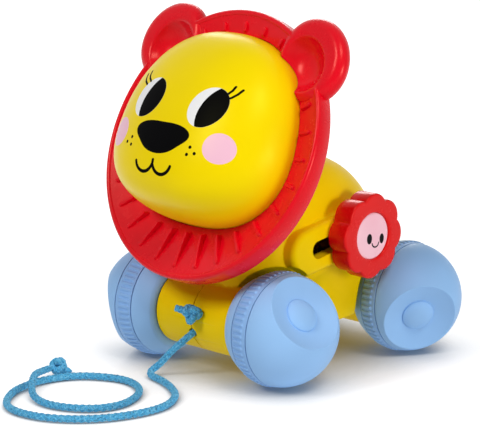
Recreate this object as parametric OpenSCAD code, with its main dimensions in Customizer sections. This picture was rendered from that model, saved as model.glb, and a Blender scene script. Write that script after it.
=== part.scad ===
// Pull-along lion on four ball wheels, with a flower knob that slides in a slot on each flank.
// Millimetres, +Z up. The lion looks along -Y and its left side is +X. Z = 0 is the floor.

/* [Wheels] */
// Distance between the two axles
wheelbase = 94.8; // [80:0.1:110]
// Gap between a wheel's flat inner face and its barrel
wheel_gap = 0.8; // [0.3:0.1:3]
// Radius of the smooth ball
ball_r = 28.5; // [22:0.1:34]
// Height of the tread's cross ribs above the ball
tread_over = 0.7; // [0.3:0.1:2]
// Distance of the tread's inner edge from the ball's centre
tread_in = 8.2; // [5:0.1:10]
// Distance of the tread's outer edge from the ball's centre
tread_out = 2.4; // [1:0.1:6]
// Number of cross ribs round a tread
tread_ribs = 60; // [30:1:80]
// Height of a tread's cross ribs
tread_rib_h = 0.6; // [0.3:0.1:1.2]
// Distance from the ball's centre to its flat inner face
ball_back = 18.4; // [14:0.1:20]
// Thickness of the ball's walls
ball_wall = 2.5; // [1.5:0.1:4]
// Distance from the ball's centre to the slanted dish
dish_out = 21; // [19:0.1:25]
// Angle between the dish and the axle
dish_lean = 35; // [15:1:45]
// Radius of the hollow inside the dish's rim
dish_r = 18.6; // [14:0.1:19]
// Depth of the dish
dish_depth = 3; // [1:0.1:4]
// Radius of the round button in the dish
button_r = 8.4; // [5:0.1:10]
// Radius of an axle rod
axle_r = 2.5; // [2:0.05:4]
// Running clearance of an axle in the body
axle_clear = 0.08; // [0.02:0.01:0.1]

/* [Body] */
// Radius of the round back, seen from the side
back_r = 52.5; // [45:0.5:60]
// Half the body's width
body_half = 36.5; // [30:0.1:42]
// Rounding between back and flank
back_edge = 26; // [10:0.5:30]
// Wall of the body's shells
body_wall = 2.5; // [1.5:0.1:4]
// Radius of the two barrels that carry the axles
barrel_r = 19.2; // [15:0.1:23]
// Half the length of a barrel
barrel_half = 25.2; // [20:0.1:30]
// Gap between a tread and the hollow round it
arch_gap = 2.3; // [1:0.1:6]
// Height of the belly above the floor
belly_z = 23; // [14:0.5:28]
// Radius of the neck
neck_r = 24; // [16:0.5:30]

/* [Head] */
// How far the head leans back
head_tilt = 22.5; // [0:0.5:35]
// Radius of the mane's outer edge
mane_r = 70; // [60:0.1:80]
// Depth of the mane's outer wall
mane_depth = 8.5; // [6:0.1:14]
// How far the mane's skirt is stepped in behind the outer wall
skirt_step = 5.5; // [2:0.1:8]
// Depth of the skirt's back behind the crest
skirt_depth = 12.6; // [10:0.1:18]
// Wall of the mane
mane_wall = 1.8; // [1.2:0.1:3]
// Number of ribs in the mane's hollow
mane_ribs = 28; // [16:1:40]
// Half the width of the face's outline
face_half = 53.1; // [44:0.1:58]
// Half the height of the face's outline
face_tall = 49.1; // [42:0.1:54]
// How far the face stands in front of the mane's crest
face_out = 32; // [20:0.1:45]
// Distance of the face above the mane's middle
face_up = 7.9; // [0:0.1:12]
// How far the muzzle sags below the face's middle
muzzle_drop = 16.1; // [0:0.1:20]
// Radius of an ear
ear_r = 21; // [15:0.1:28]

/* [Flower knobs] */
// Radius over the petals
flower_r = 21.8; // [15:0.1:26]
// Number of petals
petals = 8; // [5:1:12]
// Thickness of a flower
flower_thick = 11.5; // [6:0.1:15]
// Radius of the pink face in a flower
flower_face_r = 12.4; // [8:0.1:15]
// Radius of the shaft that carries both flowers
shaft_r = 3.1; // [2:0.05:4]
// Clearance of the shaft in its slots
slot_clear = 0.4; // [0.1:0.05:1]
// Running clearance of a flower on the shaft
flower_clear = 0.08; // [0.02:0.01:0.1]
// Travel of the flowers along the slots, up to the stops inside the body
slot_travel = 20; // [8:0.5:24]
// Distance from the shaft to the front end of its slots
slot_front = 25.5; // [16:0.5:30]
// Rise of the slots towards the rear
slot_rise = 9.5; // [0:0.5:20]

/* [Cord] */
// Radius of the pull cord
cord_r = 1.9; // [1:0.05:3]
// Play of the cord in its two holes
cord_clear = 0.6; // [0.3:0.1:1.5]
// Radius of the knot on the chest
chest_knot_r = 3.7; // [3:0.1:6]
// Radius of the knot at the cord's end
end_knot_r = 4.4; // [3:0.1:7]

/* [Hidden] */
$fn = 64;
eps = 0.02;
// The wheelbase's middle, set so that the object's box is centred on the origin
mid_y = 8.2;
// Reach of cuts that go right through
through = 60;
reach = 100;
tread_r = ball_r + tread_over;
wheel_x = barrel_half + ball_back + wheel_gap;
arch_r = tread_r + arch_gap;
skirt_r = mane_r - skirt_step;
front_y = mid_y - wheelbase / 2;
rear_y = mid_y + wheelbase / 2;
axle_z = tread_r;
axle_in = 11;
axle_end = wheel_x + axle_in;
hub_r = 6;
lip_r = ball_r - 4;
lip_wall = 2.2;
lip_in = 13;
lip_out = 10.5;
hub_meet = 0;
hub_end = dish_out - 4.5;
lip_meet = 3;
back_y = mid_y - 3.5;
back_z = 54.8;
head_y = mid_y - 55.7;
head_z = 118.5;
plate_thick = 2;
plate_back = skirt_depth + plate_thick;
skirt_taper = 1.5;
skirt_wall = 2;
dome_r = 46;
dome_h = 19;
dome_up = 10;
dome_wall = 2;
neck_up = -30;
neck_root = 62;
crest_r = 1.5;
rib_back = 7.5;
rib_out = mane_r - rib_back;
rib_in = 40;
rib_start = 3.2;
rib_half = 1.5;
rib_thin = 0.7;
rib_high = 1;
rib_fall = 0.13;
trough_out = mane_r - 2.9;
trough_in = 38;
trough_drop = 8;
face_base = skirt_depth - 1.7;
face_wall = 2.2;
face_gap = 0.35;
ear_x = 48.5;
ear_up = 48.5;
ear_front = -1.5;
bowl_r = 22;
bowl_floor = 8.6;
bowl_in = 0.8;
flange_out = 3;
pod_r = 12;
pod_x = body_half - 6.1;
pod_ahead = slot_front + 8.5;
pod_behind = 8;
flower_y = mid_y + 8.6;
flower_z = 69;
flower_back = pod_x + pod_r + 0.8;
slot_half = shaft_r + slot_clear;
slot_rear = 1.5;
disc_r = 7;
disc_x = pod_x + 2.6;
disc_thick = 2;
stop_gap = 0.4;
stop_thick = 2.4;
boss_r = 5;
post_r = 3.6;
boss_len = 36;
screw_r = 1.5;
screw_head_r = 3;
screw_bury = 6;
screw_reach = 10;
screw_in = 3;
post_up = 5;
post_short = 6;
boss_front = 34;
boss_rear = 28;
boss_top = 10;
body_bosses = [[mid_y - boss_front, 66], [mid_y + boss_rear, 75], [mid_y, 36], [mid_y - boss_top, 91]];
mane_screw_at = [[50, 45], [-50, 45], [38, -47], [-38, -47]];
neck_screw_at = [[13, -33], [-13, -33], [13, -16], [-13, -16]];
hole_up = 11;
hole_down = -20;
// Turns of the four slanted dishes round their axles
dish_front_left = -82;
dish_front_right = 157;
dish_rear_left = 35;
dish_rear_right = -35;

function unit(v) = v / norm(v);
function spline(a, b, c, d, t) = 0.5 * (2 * b + (c - a) * t + (2 * a - 5 * b + 4 * c - d) * t * t
    + (3 * b - a - 3 * c + d) * t * t * t);

// The cord's way from the wheelbase's middle: chest knot, in at one hole, out at the other, down and round
cord_route = [[1, -69.2, 33.6], [0, -64.8, 32.6], [0, -59.5, 31], [0, -56.5, 28], [0, -59.8, 24.8],
    [0, -64.3, 23], [-2, -70, 19], [-7, -74, 13], [-12, -77, 6.5], [-15, -80, 2.8], [-11, -83.8, 2],
    [1, -87, 2], [13, -92.5, 2], [24, -101, 2], [31, -114, 2], [31.5, -129, 2], [26, -146, 2], [17, -158, 2],
    [5, -166.5, 2],
    [-9, -170, 2], [-21, -168, 2], [-31, -160.5, 2], [-39.5, -148, 2], [-43, -133, 2], [-41.5, -120, 2],
    [-36, -110, 2], [-28, -103.5, 2], [-17, -99, 2], [-6, -100, 2], [4, -106, 2], [11, -115.5, 2],
    [14.5, -128, 2], [11, -140, 2], [1, -148.5, 2], [-12, -152, 2], [-24, -149.5, 2.6], [-34, -142.5, 4.5],
    [-42.5, -133.5, 5.9], [-48.5, -123, 4.8], [-51, -110.5, 4.4]];
cord_last = len(cord_route) - 1;
cord_points = [for (i = [0 : cord_last - 1], t = [0, 0.5]) spline(cord_route[max(i - 1, 0)], cord_route[i],
    cord_route[i + 1], cord_route[min(i + 2, cord_last)], t)];
cord_path = concat(cord_points, [cord_route[cord_last]]);
cord_sides = 8;

function path_dir(p, i) = unit(p[min(i + 1, len(p) - 1)] - p[max(i - 1, 0)]);
function path_side(d) = unit(cross(d, [1, 0, 1]));
function path_ring(p, i, r, n) = [for (k = [0 : n - 1]) p[i]
    + r * cos(360 * k / n) * path_side(path_dir(p, i))
    + r * sin(360 * k / n) * cross(path_dir(p, i), path_side(path_dir(p, i)))];
function ring_faces(m, n) = [for (i = [0 : m - 2], k = [0 : n - 1], s = [0, 1])
    s == 0 ? [i * n + k, (i + 1) * n + k, (i + 1) * n + (k + 1) % n]
           : [i * n + k, (i + 1) * n + (k + 1) % n, i * n + (k + 1) % n]];
function end_faces(m, n) = [[for (k = [0 : n - 1]) k], [for (k = [n - 1 : -1 : 0]) (m - 1) * n + k]];

// A round tube along a path
module tube(p, r, n) {
    pts = [for (i = [0 : len(p) - 1]) each path_ring(p, i, r, n)];
    polyhedron(points = pts, faces = concat(ring_faces(len(p), n), end_faces(len(p), n)));
}

// The face's rounded cushion: a straight foot, then rings up to just below its front
face_sides = 56;
face_power = 2.31;
face_plan = 2.35;
face_pear = 0.13;
face_level = 6;
face_steps = [0, 3, 8, 15, 23, 32, 42, 52, 62, 71, 79, 85];
function face_rim(a) = pow(cos(a), 2 / face_power);
function face_rise(a) = pow(sin(a), 2 / face_power);
function plan(c) = sign(c) * pow(abs(c), 2 / face_plan);
function plan_x(k) = plan(sin(360 * k / face_sides)) * (1 - face_pear * plan(cos(360 * k / face_sides)));
function plan_y(k) = plan(cos(360 * k / face_sides));
function face_ring(a, in, w) = [for (k = [0 : face_sides - 1])
    [-(face_half - in) * face_rim(a) * plan_x(k),
     face_up - muzzle_drop * pow(face_rise(a), 3) + (face_tall - in) * face_rim(a) * plan_y(k), w]];

module cushion(in, foot, high) {
    rings = concat([face_ring(0, in, foot)],
        [for (a = face_steps) face_ring(a, in, -face_level + (high + face_level) * face_rise(a))]);
    polyhedron(points = [for (r = rings) each r], faces = concat(ring_faces(len(rings), face_sides),
        end_faces(len(rings), face_sides)));
}

module along_x() {
    rotate([0, 90, 0]) children();
}

module in_head() {
    translate([0, head_y, head_z]) rotate([90 - head_tilt, 0, 0]) children();
}

module in_slot() {
    translate([0, flower_y, flower_z]) rotate([slot_rise, 0, 0]) children();
}

// A disc with rounded edges about Z
module soft_disc(r, half, edge) {
    rotate_extrude() {
        translate([0, -half]) square([r - edge, 2 * half]);
        translate([0, edge - half]) square([r, 2 * (half - edge)]);
        translate([r - edge, half - edge]) intersection() {
            circle(edge);
            square(edge);
        }
        translate([r - edge, edge - half]) intersection() {
            circle(edge);
            translate([0, -edge]) square(edge);
        }
    }
}

// Body solid, drawn in by one wall for the hollow inside it
module body_form(in) {
    difference() {
        union() {
            difference() {
                translate([0, back_y, back_z]) along_x()
                    soft_disc(back_r - in, body_half - in, back_edge - in);
                translate([-60, -100, belly_z + in - 100]) cube([120, 200, 100]);
                in_head() translate([-100, -140, -plate_back - in]) cube([200, 280, 120]);
            }
            in_head() translate([0, neck_up, -neck_root])
                cylinder(r = neck_r - in, h = neck_root - plate_back - in);
            for (side = [-1, 1]) in_slot() translate([side * pod_x, 0, 0]) pod(pod_r - in);
        }
        for (side = [-1, 1], y = [front_y, rear_y]) translate([side * wheel_x, y, axle_z])
            sphere(arch_r + in);
    }
    for (y = [front_y, rear_y]) translate([0, y, axle_z]) along_x()
        translate([0, 0, in - barrel_half]) cylinder(r = barrel_r - in, h = 2 * (barrel_half - in));
}

// Raised rounded pod that the slot is cut in
module pod(r) {
    rotate([90, 0, 0]) translate([0, 0, -pod_behind]) cylinder(r = r, h = pod_ahead + pod_behind);
    translate([0, pod_behind, 0]) sphere(r);
    translate([0, -pod_ahead, 0]) sphere(r);
}

module slot_cut() {
    in_slot() translate([pod_x - 6, 0, 0]) rotate([90, 0, 90]) linear_extrude(30) {
        translate([-slot_front, -slot_half]) square([slot_front + slot_rear, 2 * slot_half]);
        translate([slot_rear, 0]) circle(slot_half);
        translate([-slot_front, 0]) circle(slot_half);
    }
}

// One half of the body on the +X side, before screws are added
module half_shell() {
    difference() {
        union() {
            difference() {
                body_form(0);
                body_form(body_wall);
            }
            intersection() {
                body_form(0.4);
                union() {
                    for (b = body_bosses) translate([0, b[0], b[1]]) along_x()
                        cylinder(r = boss_r, h = boss_len);
                    for (y = [front_y, rear_y]) translate([barrel_half - 9, y, axle_z]) along_x()
                        cylinder(r = hub_r, h = 8.5);
                    in_slot() translate([disc_x - 4, -slot_travel - disc_r - stop_gap - stop_thick, -disc_r])
                        cube([12, stop_thick, 2 * disc_r]);
                }
            }
        }
        translate([-100, -150, -10]) cube([100, 300, 230]);
        slot_cut();
        for (y = [front_y, rear_y]) translate([0, y, axle_z]) along_x()
            cylinder(r = axle_r + axle_clear, h = 60);
        for (a = [hole_up, hole_down]) translate([0, front_y, axle_z]) rotate([a, 0, 180]) rotate([-90, 0, 0])
            cylinder(r = cord_r + cord_clear, h = 30);
        for (s = neck_screw_at) in_head() translate([s[0], s[1], -plate_back - 10])
            cylinder(r = screw_r, h = 12);
    }
}

module body_left() {
    color("gold") difference() {
        half_shell();
        for (b = body_bosses) translate([-1, b[0], b[1]]) along_x()
            cylinder(r = screw_r, h = screw_reach + 3);
    }
}

module body_right() {
    color("gold") difference() {
        mirror([1, 0, 0]) half_shell();
        for (b = body_bosses) translate([1, b[0], b[1]]) rotate([0, -90, 0]) cylinder(r = screw_r, h = 12);
        for (b = body_bosses) translate([-screw_bury, b[0], b[1]]) rotate([0, -90, 0])
            cylinder(r = screw_head_r + 0.5, h = 60);
    }
}

// Screw along +Z with its head's underside at Z = 0
module screw(length) {
    cylinder(r = screw_r, h = length);
    difference() {
        translate([0, 0, -2]) cylinder(r = screw_head_r, h = 2 + eps);
        translate([0, 0, -2.1]) rotate([0, 0, 45]) translate([-2, -0.35, 0]) cube([4, 0.7, 0.9]);
        translate([0, 0, -2.1]) rotate([0, 0, -45]) translate([-2, -0.35, 0]) cube([4, 0.7, 0.9]);
    }
}

module body_screws() {
    color("silver") for (b = body_bosses) translate([-screw_bury, b[0], b[1]]) along_x()
        screw(screw_bury + screw_reach);
}

module neck_screws() {
    color("silver") for (s = neck_screw_at) in_head()
        translate([s[0], s[1], -plate_back - body_wall]) screw(body_wall + plate_thick + 2);
}

module mane_screws() {
    color("silver") for (s = mane_screw_at) in_head() translate([s[0], s[1], -plate_back])
        screw(plate_thick + screw_in);
}

// Depth of the mane's sloping hollow at a distance from the middle
function trough_w(r) = -1 - trough_drop * (trough_out - r) / (trough_out - trough_in);

module mane_ring() {
    rotate_extrude() {
        translate([mane_r - crest_r, -crest_r]) circle(crest_r);
        polygon([[mane_r, -crest_r], [mane_r, -mane_depth], [skirt_r, -mane_depth],
            [skirt_r - skirt_taper, -skirt_depth], [skirt_r - skirt_taper - skirt_wall, -skirt_depth],
            [skirt_r - 2, trough_w(skirt_r - 2) - mane_wall],
            [trough_in, trough_w(trough_in) - mane_wall], [trough_in, trough_w(trough_in)],
            [trough_out, trough_w(trough_out)], [mane_r - crest_r, 0]]);
    }
}

// Height of the ribs' tops, which stay nearly level while the hollow drops towards the face
function rib_top(r) = trough_w(rib_out) + rib_high - rib_fall * (rib_out - r);

// Tapered ribs with round outer ends, which stop a little way from the face
module mane_rib_ring() {
    rib_end = rib_out + 2 * rib_half;
    intersection() {
        translate([0, 0, -through / 2]) linear_extrude(through) difference() {
            for (i = [0 : mane_ribs - 1]) rotate(90 + i * 360 / mane_ribs) {
                polygon([[rib_in, -rib_thin], [rib_out, -rib_half], [rib_out, rib_half], [rib_in, rib_thin]]);
                translate([rib_out, 0]) circle(rib_half);
            }
            face_outline(rib_start);
        }
        rotate_extrude() polygon([[rib_in, trough_w(rib_in) - 1], [rib_end, trough_w(rib_end) - 1],
            [rib_end, rib_top(rib_end)], [rib_in, rib_top(rib_in)]]);
    }
}

module ear() {
    translate([0, 0, (ear_front - skirt_depth) / 2]) soft_disc(ear_r, (ear_front + skirt_depth) / 2, 4);
}

// Outline of the face grown by a distance, as a flat shape
module face_outline(more) {
    polygon([for (k = [0 : face_sides - 1])
        [(face_half + more) * plan_x(k), face_up + (face_tall + more) * plan_y(k)]]);
}

module mane() {
    color("crimson") in_head() difference() {
        union() {
            mane_ring();
            mane_rib_ring();
            for (side = [-1, 1]) translate([side * ear_x, ear_up, 0]) ear();
            for (s = mane_screw_at) translate([s[0], s[1], -skirt_depth])
                cylinder(r = post_r, h = skirt_depth - post_short);
        }
        for (side = [-1, 1]) translate([side * (ear_x - bowl_in), ear_up - bowl_in, bowl_r - bowl_floor])
            sphere(bowl_r);
        translate([0, 0, -through / 2]) linear_extrude(through) face_outline(face_gap);
        translate([0, 0, -skirt_depth - 1]) linear_extrude(1 + skirt_depth - face_base + face_gap)
            face_outline(flange_out + face_gap);
        for (s = mane_screw_at) translate([s[0], s[1], -skirt_depth - 1])
            cylinder(r = screw_r, h = screw_in + 1);
    }
}

module face_shell() {
    color("yellow") in_head() difference() {
        union() {
            cushion(0, -face_base - 0.5, face_out);
            translate([0, 0, -skirt_depth]) linear_extrude(skirt_depth - face_base) face_outline(flange_out);
        }
        cushion(face_wall, -skirt_depth - 1, face_out - face_wall);
    }
}

module head_back() {
    dome_ball = (dome_r * dome_r + dome_h * dome_h) / (2 * dome_h);
    color("crimson") in_head() difference() {
        union() {
            translate([0, 0, -plate_back]) cylinder(r = skirt_r - skirt_taper, h = plate_thick);
            for (side = [-1, 1]) translate([side * ear_x, ear_up, -plate_back])
                cylinder(r = ear_r - 4.5, h = plate_thick);
            for (s = neck_screw_at) translate([s[0], s[1], -plate_back])
                cylinder(r = post_r, h = plate_thick + post_up);
            difference() {
                translate([0, dome_up, dome_ball - dome_h - plate_back]) sphere(dome_ball);
                translate([-reach, -reach, -plate_back + 0.5]) cube(2 * reach);
                translate([0, dome_up, dome_ball - dome_h - plate_back]) sphere(dome_ball - dome_wall);
                translate([0, neck_up, -reach]) cylinder(r = neck_r + 0.5, h = reach - plate_back);
            }
        }
        for (s = concat(neck_screw_at, mane_screw_at)) translate([s[0], s[1], -through / 2])
            cylinder(r = screw_r, h = through);
    }
}

// Wheel parts are drawn about Z, which becomes the axle, with +Z outwards
module ball_slice(r, low, high) {
    intersection() {
        circle(r);
        translate([0, low]) square([2 * r, high - low]);
    }
}

module wheel_inner_form() {
    rotate_extrude() difference() {
        union() {
            difference() {
                ball_slice(ball_r, -ball_back, -tread_in);
                ball_slice(ball_r - ball_wall, -ball_back + ball_wall, ball_r);
            }
            translate([lip_r - lip_wall, -lip_in]) square([lip_wall, lip_in - lip_meet]);
            translate([0, -ball_back]) square([hub_r, ball_back + hub_meet]);
        }
        translate([0, -30]) square([axle_r, 60]);
    }
}

module tread_form() {
    difference() {
        translate([0, 0, -tread_in]) linear_extrude(tread_in + tread_out)
            polygon([for (i = [0 : tread_ribs - 1], k = [0 : 3])
                let (a = (i + [-0.36, -0.2, 0.2, 0.36][k]) * 360 / tread_ribs,
                    r = tread_r - [1, 0, 0, 1][k] * tread_rib_h) [r * cos(a), r * sin(a)]]);
        translate([0, 0, -20]) cylinder(r = lip_r, h = 40);
    }
}

module wheel_outer_form() {
    dish_ball = (dish_r * dish_r + dish_depth * dish_depth) / (2 * dish_depth);
    button_sink = 0.6;
    button_high = dish_depth + 0.2 - button_sink;
    button_ball = (button_r * button_r + button_high * button_high) / (2 * button_high);
    difference() {
        union() {
            difference() {
                rotate_extrude() ball_slice(ball_r, tread_out, ball_r);
                intersection() {
                    rotate_extrude() ball_slice(ball_r - ball_wall, -1, ball_r);
                    rotate([dish_lean, 0, 0]) translate([0, 0, -40])
                        cylinder(r = 50, h = 40 + dish_out - dish_depth - ball_wall);
                }
                rotate([dish_lean, 0, 0]) translate([0, 0, dish_out]) cylinder(r = 30, h = 20);
                rotate([dish_lean, 0, 0]) translate([0, 0, dish_out - dish_depth + dish_ball])
                    sphere(dish_ball);
            }
            rotate_extrude() translate([lip_r - lip_wall, -lip_meet]) square([lip_wall, lip_out + lip_meet]);
            translate([0, 0, hub_meet]) cylinder(r = hub_r, h = hub_end - hub_meet);
            rotate([dish_lean, 0, 0]) difference() {
                translate([0, 0, dish_out - button_sink - button_ball]) sphere(button_ball);
                translate([0, 0, dish_out - dish_depth - 1 - 40]) cylinder(r = 40, h = 40);
            }
        }
        translate([0, 0, -1]) cylinder(r = axle_r, h = axle_end - wheel_x + 1);
    }
}

module at_wheel(side, y, turn) {
    translate([side * wheel_x, y, axle_z]) rotate([0, 0, 90 - 90 * side]) along_x()
        rotate([0, 0, turn]) children();
}

module front_axle() {
    color("silver") translate([-axle_end, front_y, axle_z]) along_x() cylinder(r = axle_r, h = 2 * axle_end);
}

module rear_axle() {
    color("silver") translate([-axle_end, rear_y, axle_z]) along_x() cylinder(r = axle_r, h = 2 * axle_end);
}

module front_left_inner() {
    color("lightblue") at_wheel(1, front_y, 0) wheel_inner_form();
}

module front_left_tread() {
    color("lightsteelblue") at_wheel(1, front_y, 0) tread_form();
}

module front_left_outer() {
    color("lightblue") at_wheel(1, front_y, dish_front_left) wheel_outer_form();
}

module front_right_inner() {
    color("lightblue") at_wheel(-1, front_y, 0) wheel_inner_form();
}

module front_right_tread() {
    color("lightsteelblue") at_wheel(-1, front_y, 0) tread_form();
}

module front_right_outer() {
    color("lightblue") at_wheel(-1, front_y, dish_front_right) wheel_outer_form();
}

module rear_left_inner() {
    color("lightblue") at_wheel(1, rear_y, 0) wheel_inner_form();
}

module rear_left_tread() {
    color("lightsteelblue") at_wheel(1, rear_y, 0) tread_form();
}

module rear_left_outer() {
    color("lightblue") at_wheel(1, rear_y, dish_rear_left) wheel_outer_form();
}

module rear_right_inner() {
    color("lightblue") at_wheel(-1, rear_y, 0) wheel_inner_form();
}

module rear_right_tread() {
    color("lightsteelblue") at_wheel(-1, rear_y, 0) tread_form();
}

module rear_right_outer() {
    color("lightblue") at_wheel(-1, rear_y, dish_rear_right) wheel_outer_form();
}

// Flower about Z, back at Z = 0
petal_r = 8.3;
flower_face_t = 1.6;
flower_recess = 2;
flower_bore = 7;
flower_rim = flower_face_r + 3.6;
petal_turn = 40;
shaft_end = flower_back + flower_bore - 0.4;

module flower_form() {
    difference() {
        union() {
            linear_extrude(flower_thick - 1) {
                circle(flower_r - petal_r + 4);
                for (i = [0 : petals - 1]) rotate(i * 360 / petals) translate([flower_r - petal_r, 0])
                    circle(petal_r);
            }
            rotate_extrude() {
                square([flower_rim, flower_thick - 0.6]);
                translate([flower_rim - 1.4, flower_thick - 1.6]) circle(1.6);
                square([flower_rim - 1.4, flower_thick]);
            }
        }
        translate([0, 0, flower_thick - flower_recess]) cylinder(r = flower_face_r, h = 10);
        translate([0, 0, -1]) cylinder(r = shaft_r + flower_clear, h = flower_bore + 1);
    }
}

module flower_face_form() {
    translate([0, 0, flower_thick - flower_recess]) cylinder(r = flower_face_r, h = flower_face_t);
}

module at_flower(side) {
    translate([side * flower_back, flower_y, flower_z]) rotate([0, 0, 90 - 90 * side]) along_x()
        rotate([0, 0, petal_turn]) children();
}

module flower_left() {
    color("red") at_flower(1) flower_form();
}

module flower_left_face() {
    color("pink") at_flower(1) flower_face_form();
}

module flower_right() {
    color("red") at_flower(-1) flower_form();
}

module flower_right_face() {
    color("pink") at_flower(-1) flower_face_form();
}

module flower_shaft() {
    color("silver") translate([-shaft_end, flower_y, flower_z]) along_x()
        cylinder(r = shaft_r, h = 2 * shaft_end);
}

// Discs inside the body that keep the shaft in its slots
module slide_discs() {
    color("white") for (side = [-1, 1]) translate([side * disc_x, flower_y, flower_z])
        rotate([0, side * 90, 0]) difference() {
            cylinder(r = disc_r, h = disc_thick);
            translate([0, 0, -1]) cylinder(r = shaft_r, h = disc_thick + 2);
        }
}

module loop(r, t) {
    rotate_extrude() translate([r - t, 0]) circle(t);
}

module chest_knot() {
    color("deepskyblue") translate([4, mid_y - 69.8, 34]) {
        translate([-1, 0.4, 0.6]) sphere(chest_knot_r - 0.6);
        translate([1.1, -0.3, -0.6]) sphere(chest_knot_r - 0.7);
        rotate([0, -70, 25]) cylinder(r = cord_r - 0.2, h = 8);
    }
}

module end_knot() {
    color("deepskyblue") translate(cord_route[cord_last] + [0, mid_y, 0]) {
        rotate([15, 20, 0]) loop(end_knot_r, 2);
        rotate([85, 0, 40]) loop(end_knot_r - 0.2, 2);
        rotate([0, 100, 5]) cylinder(r = 1.8, h = 12);
    }
}

module pull_cord() {
    color("deepskyblue") translate([0, mid_y, 0]) tube(cord_path, cord_r, cord_sides);
}

body_left();
body_right();
body_screws();
neck_screws();
mane();
face_shell();
head_back();
mane_screws();
front_axle();
front_left_inner();
front_left_tread();
front_left_outer();
front_right_inner();
front_right_tread();
front_right_outer();
rear_axle();
rear_left_inner();
rear_left_tread();
rear_left_outer();
rear_right_inner();
rear_right_tread();
rear_right_outer();
flower_shaft();
slide_discs();
flower_left();
flower_left_face();
flower_right();
flower_right_face();
chest_knot();
pull_cord();
end_knot();
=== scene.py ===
import bisect
import bmesh
import bpy
import math
from mathutils import Matrix, Vector


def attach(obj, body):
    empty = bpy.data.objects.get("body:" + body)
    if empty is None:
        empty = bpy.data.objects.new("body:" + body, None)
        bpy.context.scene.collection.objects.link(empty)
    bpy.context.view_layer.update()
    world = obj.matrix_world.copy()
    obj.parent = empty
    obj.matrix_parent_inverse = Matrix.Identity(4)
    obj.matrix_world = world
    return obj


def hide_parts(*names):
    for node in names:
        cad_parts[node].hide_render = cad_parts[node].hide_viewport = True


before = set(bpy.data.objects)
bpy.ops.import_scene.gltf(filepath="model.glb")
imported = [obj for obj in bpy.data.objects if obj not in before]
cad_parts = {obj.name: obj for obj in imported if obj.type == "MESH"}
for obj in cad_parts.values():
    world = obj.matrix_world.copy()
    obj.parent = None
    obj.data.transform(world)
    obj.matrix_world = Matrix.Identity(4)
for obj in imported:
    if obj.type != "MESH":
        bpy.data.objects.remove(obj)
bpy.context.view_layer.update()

# Sizes in millimetres. These are the part's own.
MID_Y = 8.2
FRONT_Y, REAR_Y = MID_Y - 47.4, MID_Y + 47.4
AXLE_Z, WHEEL_X, BALL_R = 29.2, 44.4, 28.5
TREAD_IN, TREAD_OUT, TREAD_R, TREAD_RIBS = -8.2, 2.4, 29.2, 60
BALL_BACK, DISH_OUT, DISH_LEAN, BUTTON_R = 18.4, 21.0, 35, 8.4
HEAD_Y, HEAD_Z, HEAD_TILT = MID_Y - 55.7, 118.5, 22.5
MANE_R, SKIRT_R, MANE_RIBS = 70.0, 64.5, 28
FACE_HALF, FACE_TALL, FACE_OUT, FACE_UP, MUZZLE_DROP = 53.1, 49.1, 32.0, 7.9, 16.1
FACE_CORNER, FACE_BULGE, FACE_PEAR, FACE_LEVEL = 2.35, 2.31, 0.13, 6
EAR_X, EAR_UP, EAR_R = 48.5, 48.5, 21.0
FLOWER_Y, FLOWER_Z, FLOWER_BACK, FLOWER_THICK = MID_Y + 8.6, 69.0, 43.2, 11.5
PETALS, PETAL_TURN = 8, 40
POD_AHEAD, POD_BEHIND, POD_R, SLOT_REAR, SLOT_RISE = 34.0, 8.0, 12.0, 1.5, 9.5
CORD_R = 1.9

# These are the scene's own: finer than the solids, or closer to the photograph.
SEAM = 0.28
DISH_DEPTH = 4.1
PAD_LOW, PAD_HIGH, PAD_RISE, PAD_ROUND = TREAD_IN + 0.7, TREAD_OUT - 2.2, 0.62, 0.8
TREAD_BORE = 24.5
CREST_R, RIB_END, WALL_BACK = MANE_R - 2.9, MANE_R - 7.5, -11.5
EAR_LONG, EAR_WIDE, EAR_OUT, EAR_RAISED, EAR_ROLL, EAR_MIDDLE = 1.07, 0.96, 0.4, 0.7, 5.0, -7.4
HOLLOW_R, HOLLOW_RISE, HOLLOW_FLOOR, HOLLOW_SHIFT = 13.2, 6.1, -9.6, 3.0
POD_FACE, POD_EDGE, SLOT_FRONT, SLOT_HALF, ARCH_R = 42.45, 3.0, 27.6, 4.6, 31.6
PETAL_R, PETAL_OUT, PETAL_INSET = 9.2, 12.6, 2.4
CORD_PITCH, KNOT_PITCH = 13.0, 11.0
# The yarns, as shares of the cord's radius
YARN_R, YARN_OUT, YARN_WEAVE = 0.40, 0.52, 0.09

IN_MM = Matrix.Scale(0.001, 4)
PER_MM = (0.001, 0.001, 0.001)
INK = (0.003, 0.003, 0.004)
PRINT_EDGE = 0.12


def mm(x, y, z):
    return Vector((x, y, z)) * 0.001


def turn_about(degrees, axis, size=4):
    return Matrix.Rotation(math.radians(degrees), size, axis)


def head_place():
    """From the head's own millimetres (across, up, outwards) to the frame."""
    return Matrix.Translation(mm(0, HEAD_Y, HEAD_Z)) @ turn_about(90 - HEAD_TILT, "X") @ IN_MM


def wheel_place(side, y, turn):
    place = Matrix.Translation(mm(side * WHEEL_X, y, AXLE_Z)) @ turn_about(90 - 90 * side, "Z")
    return place @ turn_about(90, "Y") @ turn_about(turn, "Z") @ IN_MM


def flower_place(side):
    at = mm(side * FLOWER_BACK, FLOWER_Y, FLOWER_Z)
    place = Matrix.Translation(at) @ turn_about(90 - 90 * side, "Z")
    return place @ turn_about(90, "Y") @ turn_about(PETAL_TURN, "Z") @ IN_MM


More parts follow.
